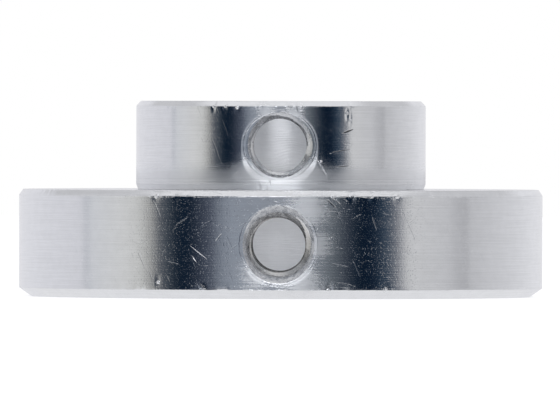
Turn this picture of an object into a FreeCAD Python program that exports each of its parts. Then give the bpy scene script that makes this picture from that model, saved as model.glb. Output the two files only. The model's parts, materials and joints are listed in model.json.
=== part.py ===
"""Two set-screw shaft collars, the small one standing on the large one, each with its set screw.

Row frame in millimetres: +Z is the bore axis, the origin is the centre of the large collar's
bottom face, and the two empty tapped holes face -Y. Each collar has a second tapped hole,
two thirds of a turn further round, that holds its set screw.
"""

import FreeCAD, Part
import math
import os

import Sketcher

V = FreeCAD.Vector

# Driving dimensions, in millimetres and degrees. They become the cells of the sheet "Sizes".
SIZES = {
    "large_outside": 32.0,
    "large_bore": 16.0,
    "large_width": 6.55,
    "large_top_bevel_in": 0.24,
    "large_top_bevel_down": 0.35,
    "large_foot_bevel_in": 0.75,
    "large_foot_bevel_up": 0.53,
    "large_hole_mouth": 4.8,
    "small_outside": 17.7,
    "small_bore": 8.0,
    "small_width": 5.4,
    "small_top_bevel_in": 0.28,
    "small_top_bevel_down": 0.31,
    "small_foot_bevel_in": 0.12,
    "small_foot_bevel_up": 0.33,
    "small_hole_mouth": 4.45,
    "bore_bevel": 0.3,
    "tap_drill": 3.3,
    "hole_to_hole": 240.0,
    "screw_core": 3.2,
    "screw_end_bevel": 0.3,
    "cup_edge": 2.0,
    "cup_depth": 0.5,
    "point_length": 0.6,
    "key_flats": 2.0,
    "pilot_drill": 2.02,
    "pilot_cone": 0.55,
    "large_screw_length": 6.0,
    "large_socket_depth": 2.5,
    "small_screw_length": 4.0,
    "small_socket_depth": 1.8,
    "tip_short_of_bore": 0.3,
}

FRONT_TURN = -90.0  # turns a collar's own +X, where its first hole is, to -Y
FULL_TURN = 360.0
HOLE_COUNT = 2
HEX_SIDES = 6

doc = FreeCAD.newDocument("shaft_collars")


def make_sheet():
    """The spreadsheet that drives every sketch."""
    sheet = doc.addObject("Spreadsheet::Sheet", "Sizes")
    for row, (alias, value) in enumerate(SIZES.items(), start=1):
        sheet.set("A%d" % row, alias.replace("_", " "))
        sheet.set("B%d" % row, str(value))
        sheet.setAlias("B%d" % row, alias)
    doc.recompute()
    return sheet


def origin_part(body, role):
    """One of a body's own origin planes or axes."""
    return next(f for f in body.Origin.OriginFeatures if f.Role == role)


def new_sketch(body, name, role):
    sketch = body.newObject("Sketcher::SketchObject", name)
    sketch.AttachmentSupport = [(origin_part(body, role), "")]
    sketch.MapMode = "FlatFace"
    return sketch


def drive(sketch, kind, geometry, point, label, formula):
    """Fixes one coordinate of a sketch point at a formula over the sheet."""
    index = sketch.addConstraint(Sketcher.Constraint(kind, -1, 1, geometry, point, 1.0))
    sketch.renameConstraint(index, label)
    sketch.setExpression("Constraints." + label, formula)


def outline(body, name, corners):
    """A closed outline on the body's XZ plane, each corner given as two formulas."""
    sketch = new_sketch(body, name, "XZ_Plane")
    count = len(corners)
    rough = [
        V(math.cos(2 * math.pi * i / count) + 2, math.sin(2 * math.pi * i / count) + 2, 0)
        for i in range(count)
    ]
    for i in range(count):
        sketch.addGeometry(Part.LineSegment(rough[i], rough[(i + 1) % count]), False)
    for i in range(count):
        sketch.addConstraint(Sketcher.Constraint("Coincident", i, 2, (i + 1) % count, 1))
    for i, (across, up) in enumerate(corners):
        drive(sketch, "DistanceX", i, 1, "across_%d" % i, across)
        drive(sketch, "DistanceY", i, 1, "up_%d" % i, up)
    return sketch


def turned(body, name, corners):
    """Revolves an outline once round the body's own Z axis."""
    sketch = outline(body, name + "_outline", corners)
    feature = body.newObject("PartDesign::Revolution", name)
    feature.Profile = sketch
    feature.ReferenceAxis = (sketch, ["V_Axis"])
    feature.Angle = FULL_TURN
    return feature


def tapped_hole(body, size):
    """A radial hole at tap-drill size with a bevelled mouth, from the bore out along +X."""
    middle = "Sizes.%s_width / 2" % size
    outside = "Sizes.%s_outside / 2" % size
    mouth = "Sizes.%s_hole_mouth / 2" % size
    drill = "Sizes.tap_drill / 2"
    past = "Sizes.bore_bevel"
    corners = [
        ("Sizes.%s_bore / 4" % size, middle),
        ("Sizes.%s_bore / 4" % size, middle + " + " + drill),
        (outside + " - " + mouth + " + " + drill, middle + " + " + drill),
        (outside + " + " + past, middle + " + " + mouth + " + " + past),
        (outside + " + " + past, middle),
    ]
    sketch = outline(body, "tapped_hole_outline", corners)
    last = len(corners) - 1  # the outline's closing edge lies on the hole's axis
    feature = body.newObject("PartDesign::Groove", "tapped_hole")
    feature.Profile = sketch
    feature.ReferenceAxis = (sketch, ["Edge%d" % (last + 1)])
    feature.Angle = FULL_TURN
    return feature


def collar(size, base_height):
    """One collar: a turned ring with a bevelled bore and rim, and two tapped holes."""
    body = doc.addObject("PartDesign::Body", size + "_collar")
    body.Label = size + "_collar"
    outside = "Sizes.%s_outside / 2" % size
    bore = "Sizes.%s_bore / 2" % size
    width = "Sizes.%s_width" % size
    top_in, top_down = "Sizes.%s_top_bevel_in" % size, "Sizes.%s_top_bevel_down" % size
    foot_in, foot_up = "Sizes.%s_foot_bevel_in" % size, "Sizes.%s_foot_bevel_up" % size
    bevel = "Sizes.bore_bevel"
    turned(
        body,
        "ring",
        [
            (bore + " + " + bevel, "0 mm"),
            (outside + " - " + foot_in, "0 mm"),
            (outside, foot_up),
            (outside, width + " - " + top_down),
            (outside + " - " + top_in, width),
            (bore + " + " + bevel, width),
            (bore, width + " - " + bevel),
            (bore, bevel),
        ],
    )
    doc.recompute()
    ring_volume = body.Shape.Volume
    hole = tapped_hole(body, size)
    doc.recompute()
    one_hole = ring_volume - body.Shape.Volume
    pattern = body.newObject("PartDesign::PolarPattern", "tapped_holes")
    pattern.Originals = [hole]
    pattern.Axis = (origin_part(body, "Z_Axis"), [""])
    pattern.Occurrences = HOLE_COUNT
    pattern.setExpression("Angle", "Sizes.hole_to_hole")
    body.Tip = pattern
    doc.recompute()
    both_holes = ring_volume - body.Shape.Volume
    if one_hole <= 0 or abs(both_holes - HOLE_COUNT * one_hole) > 0.01 * one_hole:
        raise RuntimeError("%s: the tapped holes cut %.3f and %.3f mm3" % (size, one_hole, both_holes))
    turn = FreeCAD.Rotation(V(0, 0, 1), FRONT_TURN)
    body.Placement = FreeCAD.Placement(V(0, 0, base_height), turn)
    return body


def hexagon(body, name, height_formula):
    """The key socket's outline, at a height over the body's XY plane."""
    sketch = new_sketch(body, name, "XY_Plane")
    sketch.setExpression("AttachmentOffset.Base.z", height_formula)
    corner = SIZES["key_flats"] / 2 / math.cos(math.pi / HEX_SIDES)
    points = [
        V(corner * math.cos(2 * math.pi * i / HEX_SIDES), corner * math.sin(2 * math.pi * i / HEX_SIDES), 0)
        for i in range(HEX_SIDES)
    ]
    for i in range(HEX_SIDES):
        sketch.addGeometry(Part.LineSegment(points[i], points[(i + 1) % HEX_SIDES]), False)
    circle = sketch.addGeometry(Part.Circle(V(0, 0, 0), V(0, 0, 1), corner), True)
    sketch.addConstraint(Sketcher.Constraint("Coincident", circle, 3, -1, 1))
    for i in range(HEX_SIDES):
        sketch.addConstraint(Sketcher.Constraint("Coincident", i, 2, (i + 1) % HEX_SIDES, 1))
        sketch.addConstraint(Sketcher.Constraint("PointOnObject", i, 1, circle))
    for i in range(1, HEX_SIDES):
        sketch.addConstraint(Sketcher.Constraint("Equal", 0, i))
    sketch.addConstraint(Sketcher.Constraint("PointOnObject", 0, 1, -1))
    index = sketch.addConstraint(Sketcher.Constraint("Diameter", circle, 2 * corner))
    sketch.renameConstraint(index, "corner_circle")
    sketch.setExpression("Constraints.corner_circle", "Sizes.key_flats / cos(30 deg)")
    return sketch


def set_screw(size, axis_height):
    """A cup-point set screw at its thread's core diameter, tip down, in the collar's rear hole."""
    body = doc.addObject("PartDesign::Body", size + "_set_screw")
    body.Label = size + "_set_screw"
    length = "Sizes.%s_screw_length" % size
    depth = "Sizes.%s_socket_depth" % size
    core, pilot, bevel = "Sizes.screw_core / 2", "Sizes.pilot_drill / 2", "Sizes.screw_end_bevel"
    turned(
        body,
        "shank",
        [
            ("0 mm", "Sizes.cup_depth"),
            ("Sizes.cup_edge / 2", "0 mm"),
            (core, "Sizes.point_length"),
            (core, length + " - " + bevel),
            (core + " - " + bevel, length),
            (pilot, length),
            (pilot, length + " - " + depth),
            ("0 mm", length + " - " + depth + " - Sizes.pilot_cone"),
        ],
    )
    doc.recompute()
    drilled = body.Shape.Volume
    socket = body.newObject("PartDesign::Pocket", "key_socket")
    socket.Profile = hexagon(body, "key_socket_outline", length)
    socket.setExpression("Length", depth)
    socket.Reversed = False
    doc.recompute()
    if body.Shape.Volume >= drilled:
        raise RuntimeError(size + ": the key socket cuts nothing")
    # The rear hole's direction, with the tip towards the bore and just short of its wall.
    direction = math.radians(FRONT_TURN + SIZES["hole_to_hole"])
    outward = V(math.cos(direction), math.sin(direction), 0)
    reach = SIZES[size + "_bore"] / 2 + SIZES["tip_short_of_bore"]
    turn = FreeCAD.Rotation(V(0, 0, 1), outward)
    body.Placement = FreeCAD.Placement(outward * reach + V(0, 0, axis_height), turn)
    return body


def check_and_write(parts):
    """Stops on any failed object or bad shape, then writes one STEP file per sub-part."""
    doc.recompute()
    failed = [o.Name for o in doc.Objects if {"Invalid", "Error"} & set(o.State)]
    if failed:
        raise RuntimeError("these objects failed: %s" % failed)
    os.makedirs("parts", exist_ok=True)
    for part in parts:
        shape = part.Shape
        if shape.isNull() or not shape.isValid() or len(shape.Solids) != 1:
            raise RuntimeError(part.Label + " is not one valid solid")
        shape.exportStep("parts/%s.step" % part.Label)
        box = shape.BoundBox
        print(
            "%-16s %8.2f mm3  x %.2f..%.2f  y %.2f..%.2f  z %.2f..%.2f"
            % (part.Label, shape.Volume, box.XMin, box.XMax, box.YMin, box.YMax, box.ZMin, box.ZMax)
        )


make_sheet()
large_top = SIZES["large_width"]
check_and_write(
    [
        collar("large", 0.0),
        collar("small", large_top),
        set_screw("large", SIZES["large_width"] / 2),
        set_screw("small", large_top + SIZES["small_width"] / 2),
    ]
)
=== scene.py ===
"""Two set-screw shaft collars, the small one standing on the large one, with their set screws.

Laid out as a Blender add-on and run as a script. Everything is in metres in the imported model's
frame: +Z up along both bores, -Y towards the side that the two empty tapped holes face.
"""

import contextlib
import functools
import json
import math

import bmesh
import bpy
from bpy.props import FloatProperty, FloatVectorProperty, IntProperty, PointerProperty
from mathutils import Matrix, Vector, noise


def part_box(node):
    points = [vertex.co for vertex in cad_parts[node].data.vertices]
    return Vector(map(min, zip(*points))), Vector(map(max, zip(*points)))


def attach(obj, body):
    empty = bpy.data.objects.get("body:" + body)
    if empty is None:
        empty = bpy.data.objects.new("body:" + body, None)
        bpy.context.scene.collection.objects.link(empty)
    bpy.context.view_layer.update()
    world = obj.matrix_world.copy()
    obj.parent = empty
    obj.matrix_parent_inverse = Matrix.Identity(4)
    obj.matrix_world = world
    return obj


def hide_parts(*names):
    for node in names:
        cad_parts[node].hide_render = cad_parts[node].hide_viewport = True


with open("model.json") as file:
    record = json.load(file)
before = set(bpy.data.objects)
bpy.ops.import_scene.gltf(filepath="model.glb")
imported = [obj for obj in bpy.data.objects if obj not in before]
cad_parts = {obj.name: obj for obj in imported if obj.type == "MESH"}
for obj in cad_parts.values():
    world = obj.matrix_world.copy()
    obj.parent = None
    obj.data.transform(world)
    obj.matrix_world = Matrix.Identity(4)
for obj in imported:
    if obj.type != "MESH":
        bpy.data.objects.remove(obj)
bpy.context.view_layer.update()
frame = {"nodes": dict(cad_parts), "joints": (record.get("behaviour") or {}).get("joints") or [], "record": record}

bl_info = {
    "name": "Stacked Shaft Collars",
    "version": (1, 0, 0),
    "blender": (4, 5, 0),
    "location": "3D View > Sidebar > Collars",
    "description": "Turned set-screw collars with cut threads, their set screws, and a light table",
    "category": "Object",
}

MM = 0.001
MOUNTS = {mount["name"]: mount for mount in frame["record"]["mounts"]}
JOINTS = {joint["name"]: joint for joint in frame["joints"]}
FRONT = Vector((0, -1, 0))
MERGE = 1e-7  # metres: vertices this close are one
SIDE_DISH = 0.35  # how much of a mouth's dish is left at its sides and over it


def mount_size(name, key):
    return MOUNTS[name]["dims"][key] * MM


def rear_direction(size):
    """The way a collar's set screw backs out."""
    return Vector(JOINTS[size + "_set_screw_travel"]["axis"]).normalized()


def hole_directions(size):
    return FRONT, rear_direction(size)


def hole_height(size):
    return MOUNTS[size + "_tapped_hole"]["pos_m"][2]


def reach(node, direction):
    """How far a node's nearest and furthest points lie from the bore axis along a direction."""
    along = [vertex.co.dot(direction) for vertex in frame["nodes"][node].data.vertices]
    return min(along), max(along)


# ---------------------------------------------------------------- settings

def length(name, description, default):
    return FloatProperty(
        name=name, description=description, default=default, min=0.0,
        precision=5, unit="LENGTH", subtype="DISTANCE",
    )


def angle(name, description, degrees):
    return FloatProperty(
        name=name, description=description, default=math.radians(degrees),
        unit="ROTATION", subtype="ANGLE",
    )


def share(name, description, default):
    return FloatProperty(
        name=name, description=description, default=default, min=0.0, max=1.0, subtype="FACTOR",
    )


def colour(name, description, default):
    return FloatVectorProperty(
        name=name, description=description, default=default, size=3, min=0.0, subtype="COLOR",
    )


def collar_settings(size, top_bevel, foot_bevel, mouth, dish, foot_scuff, speckle, grime):
    """The properties of one collar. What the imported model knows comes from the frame."""
    low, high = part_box(size + "_collar")
    return {
        "outside": length("Outside", "Outside diameter", high.x - low.x),
        "bore": length("Bore", "Bore diameter", 2 * mount_size(size + "_bore", "r_mm")),
        "width": length("Width", "Width along the bore", high.z - low.z),
        "base": length("Base", "Height of the bottom face", max(low.z, 0.0)),
        "top_in": length("Top bevel in", "Radial size of the top bevel", top_bevel[0] * MM),
        "top_down": length("Top bevel down", "Axial size of the top bevel", top_bevel[1] * MM),
        "foot_in": length("Foot bevel in", "Radial size of the foot bevel", foot_bevel[0] * MM),
        "foot_up": length("Foot bevel up", "Axial size of the foot bevel", foot_bevel[1] * MM),
        "mouth": length("Hole mouth", "Width of the tapped holes' mouths", mouth[0] * MM),
        "mouth_rise": length("Mouth height", "Height of the tapped holes' mouths", mouth[1] * MM),
        "dish": length("Dish", "How deep the wall is dished round a hole's mouth", dish[0] * MM),
        "dish_width": length("Dish width", "Width of the dished wall round a mouth", dish[1] * MM),
        "foot_scuff": length("Foot scuff", "Height of the coarser band at the foot", foot_scuff * MM),
        "speckle": share("Speckle", "How heavily the wall is pitted and scratched", speckle),
        # Thread shade: painted shade in the tapped holes, a dark ring at the thread crests and the darker flank
        # colour mixed into the thread.
        "grime": share("Grime", "How dark the tapped threads have become", grime),
    }


class LargeCollarSettings(bpy.types.PropertyGroup):
    __annotations__ = collar_settings(
        "large", (0.24, 0.35), (0.75, 0.53), (4.62, 4.72), (0.03, 0.24), 0.0, 0.75, 1.0
    )


class SmallCollarSettings(bpy.types.PropertyGroup):
    __annotations__ = collar_settings(
        "small", (0.28, 0.31), (0.12, 0.33), (4.32, 4.05), (0.10, 0.55), 2.0, 0.35, 0.15
    )


class EdgeSettings(bpy.types.PropertyGroup):
    bore_bevel: length("Bore bevel", "Size of the bevels at the ends of a bore", 0.3 * MM)
    easing: length("Easing", "How far a sharp corner is rounded off", 0.03 * MM)
    nick: length("Nick depth", "Depth of the deepest nicks along the rims", 0.017 * MM)
    nick_reach: length("Nick reach", "How far the nicks reach from a rim", 0.11 * MM)
    dent: length("Dent depth", "Depth of the knocks on the rims", 0.07 * MM)
    lip: length("Lip height", "Height of the burr raised round a tapped hole", 0.012 * MM)
    lip_width: length("Lip width", "Width of that burr", 0.06 * MM)
    segments: IntProperty(name="Segments", description="Faces round a collar", default=768, min=64)


class ThreadSettings(bpy.types.PropertyGroup):
    pitch: length("Pitch", "Travel in one turn", 0.7 * MM)
    major: length("Major diameter", "Diameter at the roots of a tapped hole", 4.0 * MM)
    minor: length("Minor diameter", "Diameter at the crests of a tapped hole", 3.25 * MM)
    play: length("Play", "Radial play of a screw in its hole", 0.05 * MM)
    key: length("Key size", "Across the flats of the hex key", 2.0 * MM)
    steps: IntProperty(name="Steps", description="Faces in one turn of thread", default=72, min=12)


class FinishSettings(bpy.types.PropertyGroup):
    aluminium: colour("Aluminium", "Colour of the turned aluminium", (0.86, 0.87, 0.885))
    # Flanks is mixed into the thread by each collar's thread shade: painted shade inside the tapped holes.
    flanks: colour("Flanks", "Colour of the tapped thread's flanks", (0.70, 0.695, 0.685))
    steel: colour("Steel", "Colour of the set screws' black oxide", (0.045, 0.046, 0.05))
    bare_steel: colour("Bare steel", "Colour where the oxide has worn off", (0.42, 0.42, 0.43))
    feed: length("Feed", "Distance between the lathe tool's grooves", 0.09 * MM)
    groove: length("Groove depth", "Depth of the lathe tool's grooves", 0.0018 * MM)
    roughness: share("Roughness", "Roughness of the turned surface", 0.10)
    bore_coarseness: FloatProperty(
        name="Bore coarseness", description="How much deeper the grooves in a bore are", default=3.2
    )


class StageSettings(bpy.types.PropertyGroup):
    lens: FloatProperty(name="Lens", description="Focal length in millimetres", default=1200.0)
    frame_width: length("Frame width", "Width seen at the collars' axis", 34.23 * MM)
    elevation: angle("Elevation", "Height of the camera over the horizon", 0.30)
    roll: angle("Roll", "Lean of the camera about its own axis", 0.14)
    bearing: angle("Bearing", "How far right of the holes' axis the camera stands", 0.5)
    aside: length("Aside", "How far the view's centre lies left of the axis", 0.05 * MM)
    centre: length("View centre", "Height of the view's centre", 5.90 * MM)
    table: colour("Table", "Colour of the light table", (0.80, 0.80, 0.80))
    glow: FloatProperty(name="Glow", description="Light that the table gives out", default=0.55)
    floor_size: length("Table size", "Side of the light table", 1.6)


# ---------------------------------------------------------------- wear

# Scratches in the front of each collar: the bearing of one end in degrees right of the front and
# its height in millimetres above the table, the same for the other end, the scratch's width in
# millimetres, and how black it is.
SCRATCHES = {
    "large": (
        (-19.4, 3.2, -15.6, 2.4, 0.018, 0.0),
        (-19.0, 2.6, -18.0, 2.2, 0.022, 0.0),
        (-13.7, 3.5, -12.4, 3.95, 0.04, 0.0),
        (10.4, 6.05, 12.6, 5.5, 0.07, 0.6),
        (11.4, 6.15, 13.5, 5.75, 0.05, 0.3),
    ),
    "small": (
        (25.4, 10.0, 30.2, 10.24, 0.09, 1.0),
        (20.0, 8.77, 29.2, 8.88, 0.04, 0.0),
        (21.3, 8.85, 28.7, 9.02, 0.05, 0.9),
        (23.0, 7.95, 28.3, 8.03, 0.06, 0.9),
        (14.6, 8.45, 18.8, 7.45, 0.05, 0.0),
    ),
}

# Rubbed patches round the front holes: bearing, height and radius, in the same units.
RUBS = {
    "large": (
        (6.6, 5.6, 2.6), (5.0, 1.0, 2.4), (-5.0, 1.4, 1.8), (8.5, 3.3, 1.8),
    ),
    "small": (
        (-12.0, 7.8, 1.6), (12.0, 7.8, 1.6), (-6.0, 11.4, 1.2), (6.0, 11.4, 1.2),
    ),
}

# Dents, most of them on the rims: bearing, height and radius, in the same units.
DENTS = {
    "large": (
        (-17.2, 0.50, 0.34), (11.0, 0.55, 0.16), (23.5, 0.50, 0.28), (-27.5, 6.2, 0.20),
        (12.0, 6.20, 0.22), (16.0, 6.25, 0.22), (20.5, 6.22, 0.22), (26.5, 6.22, 0.22),
        (-27.0, 1.00, 0.12),
    ),
    "small": (
        (-27.0, 11.62, 0.14), (-22.0, 11.62, 0.17), (-17.0, 11.58, 0.16), (3.5, 11.62, 0.26),
        (8.0, 11.62, 0.22), (27.5, 11.2, 0.13), (29.0, 10.8, 0.10), (16.5, 8.3, 0.10),
    ),
}


FOOT_LINES = (0.42, 0.62)  # millimetres over a scuffed foot: the two lines turned into it


def wall_point(collar, bearing, height):
    """A point on a collar's outer wall."""
    turn = math.radians(bearing)
    outwards = Vector((math.sin(turn), -math.cos(turn), 0))
    return outwards * collar.outside / 2 + Vector((0, 0, height * MM))


# ---------------------------------------------------------------- modelling helpers

def deselect():
    bpy.ops.object.select_all(action="DESELECT")


def select_only(piece):
    deselect()
    piece.select_set(True)
    bpy.context.view_layer.objects.active = piece


@contextlib.contextmanager
def editing(piece, select="DESELECT"):
    """Edit mode on one piece, with nothing else selected and its mesh selected as asked."""
    select_only(piece)
    bpy.ops.object.mode_set(mode="EDIT")
    bpy.ops.mesh.select_all(action=select)
    yield
    bpy.ops.object.mode_set(mode="OBJECT")


def named(name):
    piece = bpy.context.active_object
    piece.name = name
    piece.data.name = name
    return piece


def apply_modifier(piece, kind, **values):
    """Adds a modifier, sets it up and applies it."""
    modifier = piece.modifiers.new(kind.lower(), kind)
    for key, value in values.items():
        setattr(modifier, key, value)
    select_only(piece)
    bpy.ops.object.modifier_apply(modifier=modifier.name)


def remove(piece):
    bpy.data.objects.remove(piece, do_unlink=True)


def cut(piece, cutter, operation="DIFFERENCE"):
    apply_modifier(piece, "BOOLEAN", object=cutter, operation=operation, solver="MANIFOLD")
    remove(cutter)


def drawn(name, points, closed=True):
    """An outline in the XZ plane, drawn by extruding one vertex from point to point."""
    deselect()
    x, z = points[0]
    bpy.ops.mesh.primitive_plane_add(size=MM, location=(x, 0, z))
    piece = named(name)
    with editing(piece, "SELECT"):
        bpy.ops.mesh.merge(type="CENTER")
        path = points[1:] + points[:1] if closed else points[1:]
        for next_x, next_z in path:
            step = (next_x - x, 0, next_z - z)
            bpy.ops.mesh.extrude_vertices_move(TRANSFORM_OT_translate={"value": step})
            x, z = next_x, next_z
        bpy.ops.mesh.select_all(action="SELECT")
        bpy.ops.mesh.remove_doubles(threshold=MERGE)
    bpy.ops.object.transform_apply()
    return piece


def sweep(piece, steps, **values):
    """Sweeps an outline round Z, once or in turns that climb."""
    apply_modifier(
        piece, "SCREW", axis="Z", angle=2 * math.pi, steps=steps, render_steps=steps,
        use_merge_vertices=True, merge_threshold=MERGE, **values,
    )


def turned(name, points, steps, closed=True):
    """A solid of revolution about Z, from an outline of radii and heights."""
    piece = drawn(name, points, closed)
    sweep(piece, steps)
    with editing(piece, "SELECT"):
        bpy.ops.mesh.remove_doubles(threshold=MERGE)
        bpy.ops.mesh.normals_make_consistent(inside=False)
    return piece


def eased(corners, easing, steps=3):
    """A closed outline with each corner rounded off."""
    points = []
    for i, corner in enumerate(corners):
        here = Vector(corner)
        before = (Vector(corners[i - 1]) - here).normalized() * easing
        after = (Vector(corners[(i + 1) % len(corners)]) - here).normalized() * easing
        for step in range(steps + 1):
            t = step / steps
            points.append(tuple(here + before * (1 - t) ** 2 + after * t ** 2))
    return points


def divided(points, longest, closed=True, on_radius=None):
    """An outline's points with long stretches divided: all of them, or those at one radius."""
    result = []
    for here, there in zip(points, points[1:] + points[:1] if closed else points[1:]):
        apart = math.dist(here, there)
        if on_radius is not None and max(abs(here[0] - on_radius), abs(there[0] - on_radius)) > MERGE:
            apart = min(apart, longest)
        count = max(1, math.ceil(apart / longest))
        for i in range(count):
            t = i / count
            result.append((here[0] + (there[0] - here[0]) * t, here[1] + (there[1] - here[1]) * t))
    return result if closed else result + points[-1:]


def aim(piece, direction, height):
    """Turns a piece's own +Z, modelled at the origin, to a direction at a height."""
    turn = direction.to_track_quat("Z", "X").to_matrix().to_4x4()
    piece.data.transform(Matrix.Translation((0, 0, height)) @ turn)
    piece.data.update()


def smooth(piece, degrees=32):
    select_only(piece)
    bpy.ops.object.shade_smooth_by_angle(angle=math.radians(degrees))


def give_materials(piece, materials):
    piece.data.materials.clear()
    for material in materials:
        piece.data.materials.append(material)


def finish_piece(piece, node):
    """Shades a finished piece and gives it its body and the CAD node it stands for."""
    smooth(piece)
    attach(piece, node)
    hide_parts(node)


# ---------------------------------------------------------------- threads

def thread(name, thread_settings, root, crest, start, end):
    """A threaded rod along Z. Its ridge's phase depends on the height alone, so any two mesh."""
    pitch = thread_settings.pitch
    flat = pitch / 8
    flank = (crest - root) * math.tan(math.radians(30))
    middle = pitch / 2
    first = math.floor(start / pitch - 1) * pitch
    turns = math.ceil((end - first) / pitch) + 2
    ridge = [
        (root, first),
        (root, first + middle - flat / 2 - flank),
        (crest, first + middle - flat / 2),
        (crest, first + middle + flat / 2),
        (root, first + middle + flat / 2 + flank),
        (root, first + pitch),
    ]
    rod = drawn(name, ridge, closed=False)
    sweep(rod, thread_settings.steps, screw_offset=pitch, iterations=turns)
    with editing(rod, "SELECT"):
        bpy.ops.mesh.remove_doubles(threshold=MERGE)
        bpy.ops.mesh.select_all(action="DESELECT")
        bpy.ops.mesh.select_non_manifold()
        bpy.ops.mesh.extrude_edges_move()
        bpy.ops.mesh.merge(type="COLLAPSE")
        bpy.ops.mesh.select_all(action="SELECT")
        bpy.ops.mesh.normals_make_consistent(inside=False)
    return rod


def tapped_hole(collar, thread_settings, direction, height):
    """What a tap and a countersink take out of a collar's wall, as one solid to cut with."""
    inside, outside = collar.bore / 2, collar.outside / 2
    major, minor = thread_settings.major / 2, thread_settings.minor / 2
    mouth = collar.mouth / 2 + collar.dish * SIDE_DISH
    past = 1.0 * MM
    tap = thread("tap", thread_settings, minor, major, inside - past, outside + past)
    sink = turned(
        "countersink",
        divided(
            [
                (0.0, outside - mouth + minor * 0.8),
                (minor * 0.8, outside - mouth + minor * 0.8),
                (mouth + past, outside + past),
                (0.0, outside + past),
            ],
            0.12 * MM,
            closed=False,
        ),
        144,
        closed=False,
    )
    chatter = 0.012 * MM
    for vertex in sink.data.vertices:
        swing = noise.noise(vertex.co * 5.0 / MM)
        vertex.co.xy *= 1 + swing * chatter / max(vertex.co.xy.length, chatter)
        vertex.co.x *= collar.mouth_rise / collar.mouth
    cut(tap, sink, "UNION")
    aim(tap, direction, height)
    return tap


# ---------------------------------------------------------------- collars

def outer_rims(collar):
    """The radius and height of the four outer rims, at both ends of both bevels."""
    outer, top = collar.outside / 2, collar.base + collar.width
    return (
        (outer, collar.base + collar.foot_up),
        (outer - collar.foot_in, collar.base),
        (outer, top - collar.top_down),
        (outer - collar.top_in, top),
    )


def worn_rims(piece, collar, edges, dents):
    """Presses nicks into the four outer rims, and the dents where they belong."""
    outer = collar.outside / 2
    rims = outer_rims(collar)
    knocks = [(wall_point(collar, *place), size * MM) for *place, size in dents]
    for vertex in piece.data.vertices:
        radius, height = vertex.co.xy.length, vertex.co.z
        if radius < outer - collar.foot_in - edges.nick_reach:
            continue
        where = vertex.co / MM
        for centre, size in knocks:
            off = (vertex.co - centre).length / size
            if off < 1:
                press = edges.dent * (1 - off * off) * (0.6 + noise.noise(where * 3.0))
                vertex.co.xy *= 1 - max(0.0, press) / radius
        near = min(math.dist((radius, height), rim) for rim in rims)
        if near > edges.nick_reach:
            continue
        patch = max(0.0, noise.noise(where * 0.45) - 0.05)
        bite = max(0.0, noise.noise(where * 4.5 + Vector((7, 3, 5))) - 0.05)
        depth = edges.nick * min(1.0, patch * 3.2) * min(1.0, bite * 2.8)
        depth *= 1 - near / edges.nick_reach
        inwards = Vector((-vertex.co.x / radius, -vertex.co.y / radius, 0))
        level = -1 if height > collar.base + collar.width / 2 else 1
        vertex.co += (inwards + Vector((0, 0, level * 0.6))) * depth


def refine_mouth(piece, collar, direction, height):
    """Divides the wall's faces round a tapped hole and puts the new vertices on the wall."""
    outer, mouth = collar.outside / 2, collar.mouth / 2
    centre = direction * outer + Vector((0, 0, height))
    with editing(piece):
        mesh = bmesh.from_edit_mesh(piece.data)
        for face in mesh.faces:
            middle = face.calc_center_median()
            near = (middle - centre).length
            on_wall = abs(middle.xy.length - outer) < 0.01 * MM
            face.select = on_wall and mouth - 0.35 * MM < near < mouth + 0.65 * MM
        bmesh.update_edit_mesh(piece.data)
        bpy.ops.mesh.subdivide(number_cuts=2)
    for vertex in piece.data.vertices:
        radius = vertex.co.xy.length
        if abs(radius - outer) < 0.002 * MM:
            vertex.co.xy *= outer / radius


def gentle(part):
    """A smooth step from nothing to one."""
    part = min(1.0, max(0.0, part))
    return part * part * (3 - 2 * part)


def shape_mouth(piece, collar, edges, direction, height):
    """Dishes the wall round a hole's mouth, as deburring does, and raises a ragged burr on it."""
    outer, mouth = collar.outside / 2, collar.mouth / 2
    wall_foot = collar.base + collar.foot_up
    wall_top = collar.base + collar.width - collar.top_down
    across = Vector((0, 0, 1)).cross(direction)
    for vertex in piece.data.vertices:
        if vertex.co.dot(direction) < 0 or abs(vertex.co.xy.length - outer) > 0.002 * MM:
            continue
        side = vertex.co.dot(across)
        up = (vertex.co.z - height) * collar.mouth / collar.mouth_rise
        off = math.hypot(side, up) - mouth
        if off < -0.3 * MM or off > collar.dish_width:
            continue
        from_rim = min(vertex.co.z - wall_foot, wall_top - vertex.co.z)
        share_here = SIDE_DISH + (1 - SIDE_DISH) * gentle(-up / mouth)
        sunk = gentle(1 - off / (collar.dish_width * share_here)) * gentle(from_rim / (0.25 * MM))
        sunk *= collar.dish * share_here
        round_hole = Vector((math.cos(math.atan2(up, side)), math.sin(math.atan2(up, side)), 0))
        ragged = 0.55 + 0.9 * noise.noise(round_hole * 6.0 + direction * 3)
        grain = 0.35 * noise.noise(vertex.co * 9.0 / MM)
        rise = edges.lip * math.exp(-((off / edges.lip_width) ** 2)) * max(0.0, ragged + grain)
        vertex.co.xy *= 1 + (rise - sunk) / outer


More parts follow.
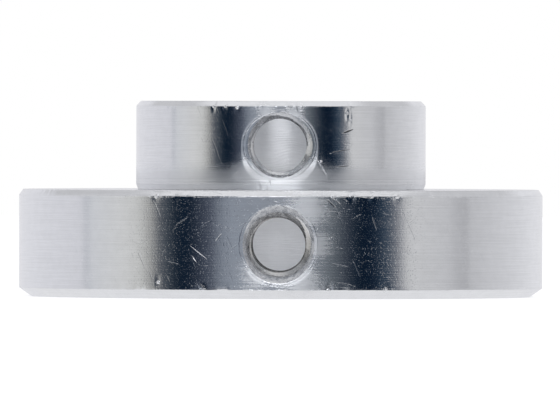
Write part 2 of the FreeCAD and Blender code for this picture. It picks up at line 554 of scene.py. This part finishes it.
def make_collar(size, collar, edges, thread_settings, materials):
    inner, outer = collar.bore / 2, collar.outside / 2
    foot, top = collar.base, collar.base + collar.width
    bevel = edges.bore_bevel
    section = [
        (inner + bevel, foot),
        (outer - collar.foot_in - edges.nick_reach, foot),
        (outer - collar.foot_in, foot),
        (outer, foot + collar.foot_up),
        (outer, top - collar.top_down),
        (outer - collar.top_in, top),
        (outer - collar.top_in - edges.nick_reach, top),
        (inner + bevel, top),
        (inner, top - bevel),
        (inner, foot + bevel),
    ]
    rows = divided(eased(section, edges.easing), 0.26 * MM, on_radius=outer)
    piece = turned(size + "_turned_collar", divided(rows, 1.5 * MM), edges.segments)
    worn_rims(piece, collar, edges, DENTS[size])
    height = hole_height(size)
    for direction in hole_directions(size):
        refine_mouth(piece, collar, direction, height)
        shape_mouth(piece, collar, edges, direction, height)
    give_materials(piece, materials)
    for direction in hole_directions(size):
        hole = tapped_hole(collar, thread_settings, direction, height)
        give_materials(hole, materials)
        for face in hole.data.polygons:
            face.material_index = 1
        cut(piece, hole)
    finish_piece(piece, size + "_collar")


# ---------------------------------------------------------------- set screws

def make_set_screw(size, thread_settings, material):
    """A cup-point set screw with a rolled thread and a hex socket, modelled along Z."""
    node = size + "_set_screw"
    direction = rear_direction(size)
    tip, head = reach(node, direction)
    major = thread_settings.major / 2 - thread_settings.play
    minor = thread_settings.minor / 2 - thread_settings.play
    cup, cup_depth, rim = 1.0 * MM, 0.5 * MM, 0.06 * MM
    # The slice drops the rounded corners on the axis, where the outline has to stay sharp.
    blank = turned(
        "blank",
        eased(
            [
                (0.0, tip + cup_depth),
                (cup, tip),
                (cup + rim, tip),
                (major + rim, tip + major - cup),
                (major + rim, head - 0.45 * MM),
                (minor - 0.05 * MM, head),
                (0.0, head),
            ],
            0.02 * MM,
        )[4:-4] + [(0.0, head), (0.0, tip + cup_depth)],
        96,
    )
    screw = thread(node + "_steel", thread_settings, minor, major, tip - MM, head + MM)
    cut(screw, blank, "INTERSECT")
    depth = (head - tip) * 0.42
    flats = thread_settings.key
    pilot = flats * 0.5 * 1.02
    deselect()
    bpy.ops.mesh.primitive_cylinder_add(
        vertices=6, radius=flats / 2 / math.cos(math.pi / 6), depth=depth + MM,
        location=(0, 0, head - depth / 2 + MM / 2),
    )
    key = named("key")
    bpy.ops.object.transform_apply()
    cut(screw, key)
    drill = turned(
        "drill",
        [
            (0.0, head - depth - 0.5 * MM),
            (pilot, head - depth),
            (pilot, head - 0.22 * MM),
            (pilot + 0.42 * MM, head + 0.2 * MM),
            (0.0, head + 0.2 * MM),
        ],
        96,
    )
    cut(screw, drill)
    aim(screw, direction, hole_height(size))
    give_materials(screw, (material,))
    finish_piece(screw, node)


# ---------------------------------------------------------------- materials

class Graph:
    """Adds and joins the nodes of one node tree."""

    def __init__(self, tree):
        self.tree = tree
        self.tree.nodes.clear()

    def add(self, kind, inputs=None, **values):
        node = self.tree.nodes.new("ShaderNode" + kind)
        for key, value in values.items():
            setattr(node, key, value)
        self.fill(node.inputs, inputs or {})
        return node

    def fill(self, sockets, values):
        for key, value in values.items():
            self.put(sockets[key], value)

    def put(self, socket, value):
        if isinstance(value, bpy.types.NodeSocket):
            self.tree.links.new(value, socket)
        else:
            socket.default_value = value

    def math(self, operation, *values, clamp=False):
        inputs = dict(enumerate(values))
        return self.add("Math", inputs, operation=operation, use_clamp=clamp).outputs[0]

    def times(self, first, second):
        return self.math("MULTIPLY", first, second)

    def vector(self, operation, *values, out=0):
        return self.add("VectorMath", dict(enumerate(values)), operation=operation).outputs[out]

    def split(self, vector):
        return self.add("SeparateXYZ", {0: vector}).outputs

    def scale(self, vector, factor):
        node = self.add("VectorMath", {"Vector": vector, "Scale": factor}, operation="SCALE")
        return node.outputs[0]

    def noise(self, scale, detail=2.0, vector=None, w=None, roughness=0.5):
        inputs = {"Vector": vector, "Scale": scale, "Detail": detail, "Roughness": roughness}
        if w is not None:
            inputs["W"] = w
        node = self.add("TexNoise", inputs, noise_dimensions="3D" if w is None else "4D")
        return node.outputs["Fac"]

    def smooth_step(self, value, low, high, out_low=0.0, out_high=1.0):
        inputs = dict(enumerate((value, low, high, out_low, out_high)))
        return self.add("MapRange", inputs, interpolation_type="SMOOTHSTEP").outputs[0]

    def band(self, value, centre, inner, outer):
        """One within inner of a centre, fading to nothing at outer."""
        off = self.math("ABSOLUTE", self.math("SUBTRACT", value, centre))
        return self.smooth_step(off, inner, outer, 1.0, 0.0)

    def mix(self, factor, first, second):
        inputs = {"Factor": factor, 6: first, 7: second}
        return self.add("Mix", inputs, data_type="RGBA").outputs[2]


def new_group(name, inputs, outputs):
    """An empty node group with named sockets, and the ends to join to."""
    tree = bpy.data.node_groups.new(name, "ShaderNodeTree")
    for direction, sockets in (("INPUT", inputs), ("OUTPUT", outputs)):
        for socket_name, socket_type in sockets.items():
            tree.interface.new_socket(
                name=socket_name, in_out=direction, socket_type="NodeSocket" + socket_type
            )
    graph = Graph(tree)
    start = tree.nodes.new("NodeGroupInput")
    end = tree.nodes.new("NodeGroupOutput")
    return graph, start.outputs, end.inputs


def place_group(graph, name, inputs):
    """Places a group that the materials share. It is made when it is first asked for."""
    group = bpy.data.node_groups.get(name) or GROUPS[name]()
    return graph.add("Group", inputs, node_tree=group).outputs


def least(graph, values):
    return functools.reduce(functools.partial(graph.math, "MINIMUM"), values)


def most(graph, values):
    return functools.reduce(functools.partial(graph.math, "MAXIMUM"), values)


def lathe_group():
    """Grooves and streaks that run round the lathe's axis, on walls and on faces."""
    graph, given, made = new_group(
        "lathe_marks",
        {"Position": "Vector", "Feed": "Float", "Wander": "Float"},
        {"Groove": "Float", "Streak": "Float", "Radius": "Float"},
    )
    millimetres = graph.scale(given["Position"], 1 / MM)
    split = graph.split(millimetres)
    flat = graph.add("CombineXYZ", {0: split[0], 1: split[1], 2: 0.0}).outputs[0]
    radius = graph.vector("LENGTH", flat, out=1)
    around = graph.vector("NORMALIZE", flat)
    along = graph.math("ADD", split[2], graph.times(radius, 0.8))
    slow = graph.noise(2.2, 1.0, around, graph.times(along, 0.35))
    drift = graph.times(graph.math("SUBTRACT", slow, 0.5), given["Wander"])
    lane = graph.math("ADD", graph.math("DIVIDE", along, given["Feed"]), drift)
    phase = graph.math("SUBTRACT", graph.math("FRACT", lane), 0.5)
    bowl = graph.times(graph.math("POWER", graph.math("ABSOLUTE", phase), 2.0), 4.0)
    graph.put(made["Groove"], bowl)
    graph.put(made["Radius"], graph.times(radius, MM))
    graph.put(
        made["Streak"],
        graph.noise(3.0, 3.0, around, graph.times(along, 6.0), roughness=0.6),
    )
    return graph.tree


def pits_group():
    """Small pits and dust marks scattered over a surface: their depth."""
    graph, given, made = new_group(
        "pits",
        {"Position": "Vector", "Cell": "Float", "Size": "Float", "Amount": "Float"},
        {"Depth": "Float"},
    )
    scale = graph.math("DIVIDE", 1.0, given["Cell"])
    cells = graph.add("TexVoronoi", {"Vector": given["Position"], "Scale": scale})
    chance = graph.add("SeparateColor", {0: cells.outputs["Color"]}).outputs
    picked = graph.math("LESS_THAN", chance[0], given["Amount"])
    size = graph.times(given["Size"], graph.math("ADD", chance[1], 0.3))
    bowl = graph.smooth_step(cells.outputs["Distance"], 0.0, size, 1.0, 0.0)
    graph.put(made["Depth"], graph.times(bowl, picked))
    return graph.tree


def scratches_group():
    """Fine straight scratches in a few directions, in patches: their depth."""
    graph, given, made = new_group(
        "scratches", {"Position": "Vector", "Scale": "Float"}, {"Depth": "Float"}
    )
    marks = []
    for slope in (12, -33, 68):
        lengthwise = graph.add(
            "Mapping",
            {
                "Vector": given["Position"],
                "Rotation": (0.0, math.radians(slope), 0.0),
                "Scale": (10.0, 5.0, 1.0),
            },
            vector_type="TEXTURE",
        ).outputs[0]
        marks.append(graph.smooth_step(graph.noise(given["Scale"], 1.0, lengthwise), 0.70, 0.75))
    graph.put(made["Depth"], most(graph, marks))
    return graph.tree


def hole_distance_group():
    """How far a point is from the axis of a hole that runs outwards from the bore axis.

    Heights count for more by Squash, which gives the outline of a mouth that is wider than high.
    """
    graph, given, made = new_group(
        "hole_distance",
        {"Position": "Vector", "Direction": "Vector", "Height": "Float", "Squash": "Float"},
        {"Distance": "Float", "Up": "Float"},
    )
    lift = graph.add("CombineXYZ", {2: given["Height"]}).outputs[0]
    local = graph.vector("SUBTRACT", given["Position"], lift)
    along = graph.vector("DOT_PRODUCT", local, given["Direction"], out=1)
    up = graph.split(local)[2]
    square = graph.vector("DOT_PRODUCT", local, local, out=1)
    side = graph.math("SUBTRACT", square, graph.math("POWER", along, 2.0))
    side = graph.math("SUBTRACT", side, graph.math("POWER", up, 2.0))
    rise = graph.math("POWER", graph.times(up, given["Squash"]), 2.0)
    off = graph.math("SQRT", graph.math("ADD", graph.math("MAXIMUM", side, 0.0), rise))
    behind = graph.math("LESS_THAN", along, 0.0)
    graph.put(made["Distance"], graph.math("ADD", off, behind))
    graph.put(made["Up"], up)
    return graph.tree


def rim_distance_group():
    """How far a point is from a rim, a circle round the bore axis."""
    graph, given, made = new_group(
        "rim_distance",
        {"Position": "Vector", "Radius": "Float", "Height": "Float"},
        {"Distance": "Float"},
    )
    split = graph.split(given["Position"])
    flat = graph.add("CombineXYZ", {0: split[0], 1: split[1], 2: 0.0}).outputs[0]
    out = graph.math("SUBTRACT", graph.vector("LENGTH", flat, out=1), given["Radius"])
    up = graph.math("SUBTRACT", split[2], given["Height"])
    section = graph.add("CombineXYZ", {0: out, 1: up}).outputs[0]
    graph.put(made["Distance"], graph.vector("LENGTH", section, out=1))
    return graph.tree


def stroke_group():
    """A straight scratch between two points, tapering to its ends."""
    graph, given, made = new_group(
        "stroke",
        {"Position": "Vector", "Start": "Vector", "End": "Vector", "Width": "Float"},
        {"Mark": "Float"},
    )
    run = graph.vector("SUBTRACT", given["End"], given["Start"])
    gone = graph.vector("SUBTRACT", given["Position"], given["Start"])
    along = graph.vector("DOT_PRODUCT", gone, run, out=1)
    whole = graph.vector("DOT_PRODUCT", run, run, out=1)
    part = graph.math("DIVIDE", along, whole, clamp=True)
    nearest = graph.scale(run, part)
    off = graph.vector("DISTANCE", gone, nearest, out=1)
    from_middle = graph.math("MULTIPLY_ADD", part, 2.0, -1.0)
    taper = graph.math("MULTIPLY_ADD", graph.math("POWER", from_middle, 2.0), -0.8, 1.0)
    width = graph.times(given["Width"], taper)
    graph.put(made["Mark"], graph.smooth_step(off, 0.0, width, 1.0, 0.0))
    return graph.tree


def smear_group():
    """A patch round a point where the metal has been rubbed, with an uneven edge."""
    graph, given, made = new_group(
        "smear",
        {"Position": "Vector", "Centre": "Vector", "Size": "Float"},
        {"Amount": "Float"},
    )
    off = graph.vector("DISTANCE", given["Position"], given["Centre"], out=1)
    ragged = graph.noise(3.5 / MM, 3.0, given["Position"], roughness=0.6)
    reach_out = graph.times(given["Size"], graph.math("MULTIPLY_ADD", ragged, 0.8, 0.6))
    graph.put(made["Amount"], graph.smooth_step(off, 0.0, reach_out, 1.0, 0.0))
    return graph.tree


def bumped(graph, *heights):
    """One normal from heights in millimetres, each a share of nothing to one and its size."""
    total = 0.0
    for height, size in heights:
        total = graph.math("MULTIPLY_ADD", height, size / MM, total)
    node = graph.add("Bump", {"Strength": 1.0, "Distance": MM, "Height": total})
    return node.outputs["Normal"]


def new_material(name):
    material = bpy.data.materials.new(name)
    material.use_nodes = True
    graph = Graph(material.node_tree)
    shader = graph.add("BsdfPrincipled", {"Metallic": 1.0})
    graph.add("OutputMaterial", {"Surface": shader.outputs[0]})
    position = graph.add("TexCoord").outputs["Object"]
    return material, graph, shader, position


def hole_distances(graph, position, size, squash):
    """A distance group for each of a collar's two tapped holes."""
    return [
        place_group(
            graph, "hole_distance",
            {
                "Position": position, "Direction": direction, "Height": hole_height(size),
                "Squash": squash,
            },
        )
        for direction in hole_directions(size)
    ]


def pitting(graph, position, cell, size, amount):
    """The depth of a surface's pits, in cells measured in millimetres."""
    inputs = {"Position": position, "Cell": cell * MM, "Size": size, "Amount": amount}
    return place_group(graph, "pits", inputs)["Depth"]


def rim_nicks(graph, position, collar):
    """Where a collar's outer rims are nicked."""
    near = least(graph, [
        place_group(
            graph, "rim_distance",
            {"Position": position, "Radius": radius, "Height": height},
        )["Distance"]
        for radius, height in outer_rims(collar)
    ])
    patch = graph.smooth_step(graph.noise(0.55 / MM, 2.0, position), 0.42, 0.62, 0.12, 1.0)
    width = graph.times(patch, 0.16 * MM)
    return graph.smooth_step(near, 0.0, width, 1.0, 0.0)


def turned_aluminium(name, size, collar, finish):
    """Bright turned aluminium: lathe grooves, pits, scratches, nicked rims and rubbed mouths."""
    material, graph, shader, position = new_material(name)
    lathe = place_group(
        graph, "lathe_marks", {"Position": position, "Feed": finish.feed / MM, "Wander": 6.0}
    )
    squash = collar.mouth / collar.mouth_rise
    holes = hole_distances(graph, position, size, squash)
    near = least(graph, [hole["Distance"] for hole in holes])
    marks = [
        place_group(
            graph, "stroke",
            {
                "Position": position,
                "Start": wall_point(collar, *ends[:2]),
                "End": wall_point(collar, *ends[2:]),
                "Width": width * MM,
            },
        )["Mark"]
        for *ends, width, _ in SCRATCHES[size]
    ]
    # How far each scratch darkens the colour, towards black, by the last column of its row.
    scratch_darkening = most(graph, [
        graph.times(mark, scratch[-1]) for mark, scratch in zip(marks, SCRATCHES[size])
    ])
    rubbed, dented = (
        most(graph, [
            place_group(
                graph, "smear",
                {"Position": position, "Centre": wall_point(collar, *place), "Size": spread * MM},
            )["Amount"]
            for *place, spread in table[size]
        ])
        for table in (RUBS, DENTS)
    )
    burr_width = graph.math(
        "MULTIPLY_ADD", graph.noise(2.6 / MM, 2.0, position), 0.16 * MM, -0.02 * MM
    )
    burr = graph.band(near, collar.mouth / 2 + 0.03 * MM, 0.0, burr_width)
    crush = graph.times(graph.noise(8.0 / MM, 3.0, position), most(graph, [
        rim_nicks(graph, position, collar),
        graph.times(rubbed, 0.12),
    ]))
    dent = graph.times(graph.noise(4.5 / MM, 3.0, position), dented)
    pits = pitting(graph, position, 0.095, 0.40, 0.95)
    dusting = graph.smooth_step(graph.noise(0.45 / MM, 2.0, position), 0.35, 0.65, 0.55, 1.0)
    scratch = place_group(
        graph, "scratches", {"Position": position, "Scale": 6.0 / MM}
    )["Depth"]
    in_bore = graph.smooth_step(
        lathe["Radius"], collar.bore / 2 + 0.02 * MM, collar.bore / 2 + 0.05 * MM, 1.0, 0.0
    )
    coarse = graph.math("MULTIPLY_ADD", in_bore, finish.bore_coarseness - 1, 1.0)
    scuffed, lines = 0.0, 0.0
    if collar.foot_scuff:
        up = graph.split(position)[2]
        top = collar.base + collar.foot_scuff
        scuffed = graph.smooth_step(up, top - 1.3 * MM, top, 1.0, 0.0)
        lines = most(graph, [
            graph.band(up, collar.base + line * MM, 0.0, 0.07 * MM) for line in FOOT_LINES
        ])
    normal = bumped(
        graph,
        (graph.times(lathe["Groove"], coarse), finish.groove),
        (lathe["Streak"], 0.0017 * MM),
        (graph.noise(9.0 / MM, 2.0, position), 0.0018 * MM),
        (graph.times(pits, dusting), -0.0052 * MM * collar.speckle),
        (scratch, -0.0035 * MM * collar.speckle),
        (most(graph, marks), -0.008 * MM),
        (lines, -0.012 * MM),
        (burr, 0.007 * MM),
        (crush, 0.020 * MM),
        (dent, 0.090 * MM),
    )
    tone = graph.smooth_step(graph.noise(1.6 / MM, 3.0, position), 0.3, 0.7, 0.97, 1.0)
    tone = graph.times(tone, graph.smooth_step(lathe["Streak"], 0.36, 0.64, 0.97, 1.03))
    tone = graph.times(tone, graph.math("MULTIPLY_ADD", scratch_darkening, -0.93, 1.0))
    shade = graph.scale(tuple(finish.aluminium), tone)
    rough = graph.smooth_step(lathe["Streak"], 0.3, 0.8, finish.roughness * 0.7, finish.roughness * 1.6)
    brushed = graph.smooth_step(lathe["Streak"], 0.35, 0.65, 0.86, 1.0)
    rubbed = graph.times(rubbed, brushed)
    for worn, rise in ((rubbed, 0.26), (scuffed, 0.32), (in_bore, 0.28)):
        rough = graph.math("MULTIPLY_ADD", worn, rise, rough)
    graph.fill(shader.inputs, {
        "Base Color": shade, "Roughness": rough, "Normal": normal,
        "Anisotropic": 0.75, "Anisotropic Rotation": 0.25,
    })
    return material


def tapped_aluminium(name, size, collar, finish, thread_settings):
    """Freshly cut thread flanks and countersinks, a little torn, with painted shade on the crests and the flanks.
    """
    material, graph, shader, position = new_material(name)
    holes = hole_distances(graph, position, size, 1.0)
    near = least(graph, [hole["Distance"] for hole in holes])
    torn = graph.noise(7.0 / MM, 3.0, position, roughness=0.6)
    pits = pitting(graph, position, 0.14, 0.4, 0.30)
    crest = thread_settings.minor / 2
    # Painted shade: a dark ring just inside the thread crests, with a ragged edge.
    edge = graph.math("MULTIPLY_ADD", torn, 0.12 * MM, crest + 0.03 * MM)
    grime = graph.smooth_step(near, crest, edge, 1.0, 0.0)
    # The painted shade is darker towards the bottom of the holes.
    crest_shade_by_height = graph.smooth_step(
        holes[0]["Up"], -0.4 * MM, 1.2 * MM, 0.85 * collar.grime, 0.45 * collar.grime
    )
    tone = graph.smooth_step(torn, 0.25, 0.75, 0.88, 1.0)
    unshaded = graph.math("SUBTRACT", 1.0, graph.times(grime, crest_shade_by_height))
    root = thread_settings.major / 2
    # Painted shade inside the thread: the darker flank colour, mixed in by the collar's thread shade.
    in_thread = graph.smooth_step(near, root - 0.08 * MM, root, collar.grime, 0.0)
    shade = graph.mix(in_thread, (*finish.aluminium, 1.0), (*finish.flanks, 1.0))
    shade = graph.scale(shade, graph.times(tone, unshaded))
    graph.fill(shader.inputs, {
        "Base Color": shade,
        "Roughness": graph.smooth_step(torn, 0.2, 0.8, 0.14, 0.30),
        "Normal": bumped(graph, (torn, 0.0030 * MM), (pits, -0.006 * MM)),
    })
    return material


def oxide_steel(finish):
    """Black-oxide steel, worn to bright metal on its ridges and rims."""
    material, graph, shader, position = new_material("black_oxide_steel")
    grain = graph.noise(6.0 / MM, 3.0, position, roughness=0.6)
    pits = pitting(graph, position, 0.2, 0.35, 0.3)
    pointed = graph.add("NewGeometry").outputs["Pointiness"]
    ridge = graph.math("ADD", pointed, graph.times(grain, 0.06))
    worn = graph.smooth_step(ridge, 0.56, 0.62)
    shade = graph.mix(worn, (*finish.steel, 1.0), (*finish.bare_steel, 1.0))
    graph.fill(shader.inputs, {
        "Base Color": shade,
        "Roughness": graph.smooth_step(grain, 0.2, 0.8, 0.26, 0.42),
        "Normal": bumped(graph, (grain, 0.006 * MM), (pits, -0.006 * MM)),
    })
    return material


GROUPS = {
    "lathe_marks": lathe_group,
    "pits": pits_group,
    "scratches": scratches_group,
    "hole_distance": hole_distance_group,
    "rim_distance": rim_distance_group,
    "stroke": stroke_group,
    "smear": smear_group,
}


# ---------------------------------------------------------------- stage

def make_table(stage):
    """The pale light table, a flat square, seen but not mirrored."""
    deselect()
    bpy.ops.mesh.primitive_plane_add(size=stage.floor_size, location=(0, 0, 0))
    table = named("light_table")
    with editing(table, "SELECT"):
        bpy.ops.mesh.subdivide(number_cuts=3)
    material = bpy.data.materials.new("light_table")
    material.use_nodes = True
    graph = Graph(material.node_tree)
    shader = graph.add(
        "BsdfPrincipled",
        {
            "Base Color": (*stage.table, 1.0),
            "Roughness": 0.9,
            "Emission Color": (1.0, 1.0, 1.0, 1.0),
            "Emission Strength": stage.glow,
        },
    )
    graph.add("OutputMaterial", {"Surface": shader.outputs[0]})
    table.data.materials.append(material)
    table.visible_glossy = False


# The tent's light near the horizon: bearing in degrees from the front, right positive, then red,
# green and blue. The camera's side is dark, with two black flags.
HORIZON = (
    (-180, 0.79, 0.79, 0.82),
    (-147, 0.78, 0.78, 0.82),
    (-98, 0.69, 0.69, 0.73),
    (-96.5, 0.57, 0.58, 0.62),
    (-93.5, 0.57, 0.58, 0.62),
    (-92, 0.66, 0.67, 0.70),
    (-73, 0.67, 0.67, 0.67),
    (-65, 0.61, 0.61, 0.60),
    (-59, 0.37, 0.37, 0.36),
    (-55, 0.11, 0.12, 0.14),
    (-50, 0.040, 0.053, 0.070),
    (-46, 0.004, 0.012, 0.026),
    (-40, 0.004, 0.012, 0.026),
    (-30, 0.07, 0.082, 0.115),
    (-28.5, 0.15, 0.17, 0.21),
    (-22, 0.27, 0.30, 0.35),
    (8, 0.27, 0.29, 0.33),
    (22, 0.13, 0.15, 0.17),
    (28, 0.055, 0.065, 0.085),
    (32, 0.014, 0.025, 0.042),
    (36, 0.002, 0.008, 0.020),
    (42, 0.004, 0.012, 0.028),
    (48, 0.035, 0.058, 0.090),
    (53, 0.17, 0.18, 0.21),
    (57, 0.56, 0.56, 0.57),
    (60, 0.63, 0.63, 0.64),
    (79, 0.58, 0.58, 0.60),
    (84, 0.50, 0.50, 0.52),
    (88, 0.48, 0.48, 0.50),
    (90, 0.43, 0.43, 0.45),
    (92, 0.55, 0.55, 0.57),
    (147, 0.79, 0.79, 0.82),
)
CLOTH = (0.82, 0.82, 0.84, 1.0)  # overhead and below
SIDE_CLOTH = (0.60, 0.60, 0.62, 1.0)  # half-way up
FRONT_CLOTH = (0.34, 0.36, 0.39, 1.0)  # half-way up over the flags
LAMP = (2.8, 2.82, 2.9, 1.0)  # a strip light over the camera


def radians(*degrees):
    return tuple(math.radians(value) for value in degrees)


# Where each light gives way to the next: the angles where the change starts and where it ends.
FLAG_SIDES = radians(52, 66)
FLAG_TOP = radians(21, 30)
HIGH_CLOTH = radians(50, 62)
LAMP_SIDES = radians(15, 19)
LAMP_LEVEL = radians(32, 11, 13)  # its middle, then how far from it the change starts and ends


def make_light():
    """A white light tent as the world, darker round the camera, with a strip light over it."""
    world = bpy.data.worlds.new("light_tent")
    bpy.context.scene.world = world
    world.use_nodes = True
    graph = Graph(world.node_tree)
    split = graph.split(graph.add("TexCoord").outputs["Generated"])
    bearing = graph.math("ARCTAN2", split[0], graph.times(split[1], -1.0))
    level = graph.math("ARCSINE", split[2])
    climb = graph.math("MAXIMUM", level, graph.times(level, -1.4))
    leaning = graph.math("MULTIPLY_ADD", level, 0.2, bearing)
    place = graph.math("ADD", graph.math("DIVIDE", leaning, 2 * math.pi), 0.5)
    ramp = graph.add("ValToRGB", {0: place})
    stops = ramp.color_ramp.elements
    while len(stops) > 1:
        stops.remove(stops[-1])
    for i, (degrees, *rgb) in enumerate(HORIZON):
        stop = stops[0] if i == 0 else stops.new(degrees / 360 + 0.5)
        stop.position = degrees / 360 + 0.5
        stop.color = (*rgb, 1.0)
    aside = graph.math("ABSOLUTE", bearing)
    sideways = graph.smooth_step(aside, *FLAG_SIDES)
    below = graph.math("LESS_THAN", level, 0.0)
    middle = graph.mix(below, graph.mix(sideways, FRONT_CLOTH, SIDE_CLOTH), CLOTH)
    over_flags = graph.smooth_step(climb, *FLAG_TOP)
    light = graph.mix(over_flags, ramp.outputs["Color"], middle)
    high = graph.smooth_step(climb, *HIGH_CLOTH)
    light = graph.mix(high, light, CLOTH)
    strip = graph.math(
        "MULTIPLY",
        graph.smooth_step(aside, *LAMP_SIDES, 1.0, 0.0),
        graph.band(level, *LAMP_LEVEL),
    )
    light = graph.mix(strip, light, LAMP)
    seen = graph.add("LightPath").outputs["Is Camera Ray"]
    shown = graph.mix(seen, light, (1.0, 1.0, 1.0, 1.0))
    background = graph.add("Background", {"Color": shown, "Strength": 1.0})
    graph.add("OutputWorld", {"Surface": background.outputs[0]})


def make_camera(stage):
    """A long lens nearly level with the collars, so that they look almost unforeshortened."""
    camera = bpy.data.objects.new("camera", bpy.data.cameras.new("camera"))
    bpy.context.scene.collection.objects.link(camera)
    camera.data.lens = stage.lens
    camera.data.sensor_width = 36.0
    distance = stage.frame_width * stage.lens / camera.data.sensor_width
    camera.data.clip_start = distance * 0.05
    camera.data.clip_end = distance * 4
    level = Vector((math.sin(stage.bearing), -math.cos(stage.bearing), 0))
    back = level * math.cos(stage.elevation) + Vector((0, 0, math.sin(stage.elevation)))
    camera.location = Vector((-stage.aside, 0, stage.centre)) + back * distance
    turn = (-back).to_track_quat("-Z", "Y").to_matrix().to_4x4()
    camera.matrix_world = (
        Matrix.Translation(camera.location) @ turn @ Matrix.Rotation(stage.roll, 4, "Z")
    )
    bpy.context.scene.camera = camera


# ---------------------------------------------------------------- operators and panel

class COLLARS_OT_turned_collars(bpy.types.Operator):
    """Turn both collars, nick their rims, and drill, countersink and tap their holes"""

    bl_idname = "collars.turned_collars"
    bl_label = "Turned Collars"

    def execute(self, context):
        scene = context.scene
        finish = scene.collar_finish
        for size, collar in (("large", scene.large_collar), ("small", scene.small_collar)):
            name = size + "_turned_aluminium"
            wall = turned_aluminium(name, size, collar, finish)
            name = size + "_tapped_aluminium"
            flanks = tapped_aluminium(name, size, collar, finish, scene.collar_thread)
            make_collar(size, collar, scene.collar_edges, scene.collar_thread, (wall, flanks))
        return {"FINISHED"}


class COLLARS_OT_set_screws(bpy.types.Operator):
    """Thread both cup-point set screws and broach their hex sockets"""

    bl_idname = "collars.set_screws"
    bl_label = "Set Screws"

    def execute(self, context):
        scene = context.scene
        material = oxide_steel(scene.collar_finish)
        for size in ("large", "small"):
            make_set_screw(size, scene.collar_thread, material)
        return {"FINISHED"}


class COLLARS_OT_stage(bpy.types.Operator):
    """Set up the light table, the light tent and the camera"""

    bl_idname = "collars.stage"
    bl_label = "Stage"

    def execute(self, context):
        stage = context.scene.collar_stage
        context.scene.view_settings.view_transform = "Standard"
        make_table(stage)
        make_light()
        make_camera(stage)
        return {"FINISHED"}


class COLLARS_PT_panel(bpy.types.Panel):
    """The collars' sizes, finishes and makers"""

    bl_idname = "COLLARS_PT_panel"
    bl_label = "Shaft Collars"
    bl_space_type = "VIEW_3D"
    bl_region_type = "UI"
    bl_category = "Collars"

    def draw(self, context):
        layout = self.layout
        for operator in OPERATORS:
            layout.operator(operator.bl_idname)
        for name in SETTINGS:
            box = layout.box()
            box.label(text=name.replace("_", " ").capitalize())
            settings = getattr(context.scene, name)
            for key in settings.bl_rna.properties.keys():
                if key not in ("rna_type", "name"):
                    box.prop(settings, key)


OPERATORS = (COLLARS_OT_turned_collars, COLLARS_OT_set_screws, COLLARS_OT_stage)
SETTINGS = {
    "large_collar": LargeCollarSettings,
    "small_collar": SmallCollarSettings,
    "collar_edges": EdgeSettings,
    "collar_thread": ThreadSettings,
    "collar_finish": FinishSettings,
    "collar_stage": StageSettings,
}
CLASSES = (*SETTINGS.values(), *OPERATORS, COLLARS_PT_panel)


def register():
    for cls in CLASSES:
        bpy.utils.register_class(cls)
    for name, cls in SETTINGS.items():
        setattr(bpy.types.Scene, name, PointerProperty(type=cls))


def unregister():
    for name in SETTINGS:
        delattr(bpy.types.Scene, name)
    for cls in reversed(CLASSES):
        bpy.utils.unregister_class(cls)


def main():
    register()
    bpy.ops.collars.turned_collars()
    bpy.ops.collars.set_screws()
    bpy.ops.collars.stage()


if __name__ == "__main__":
    main()
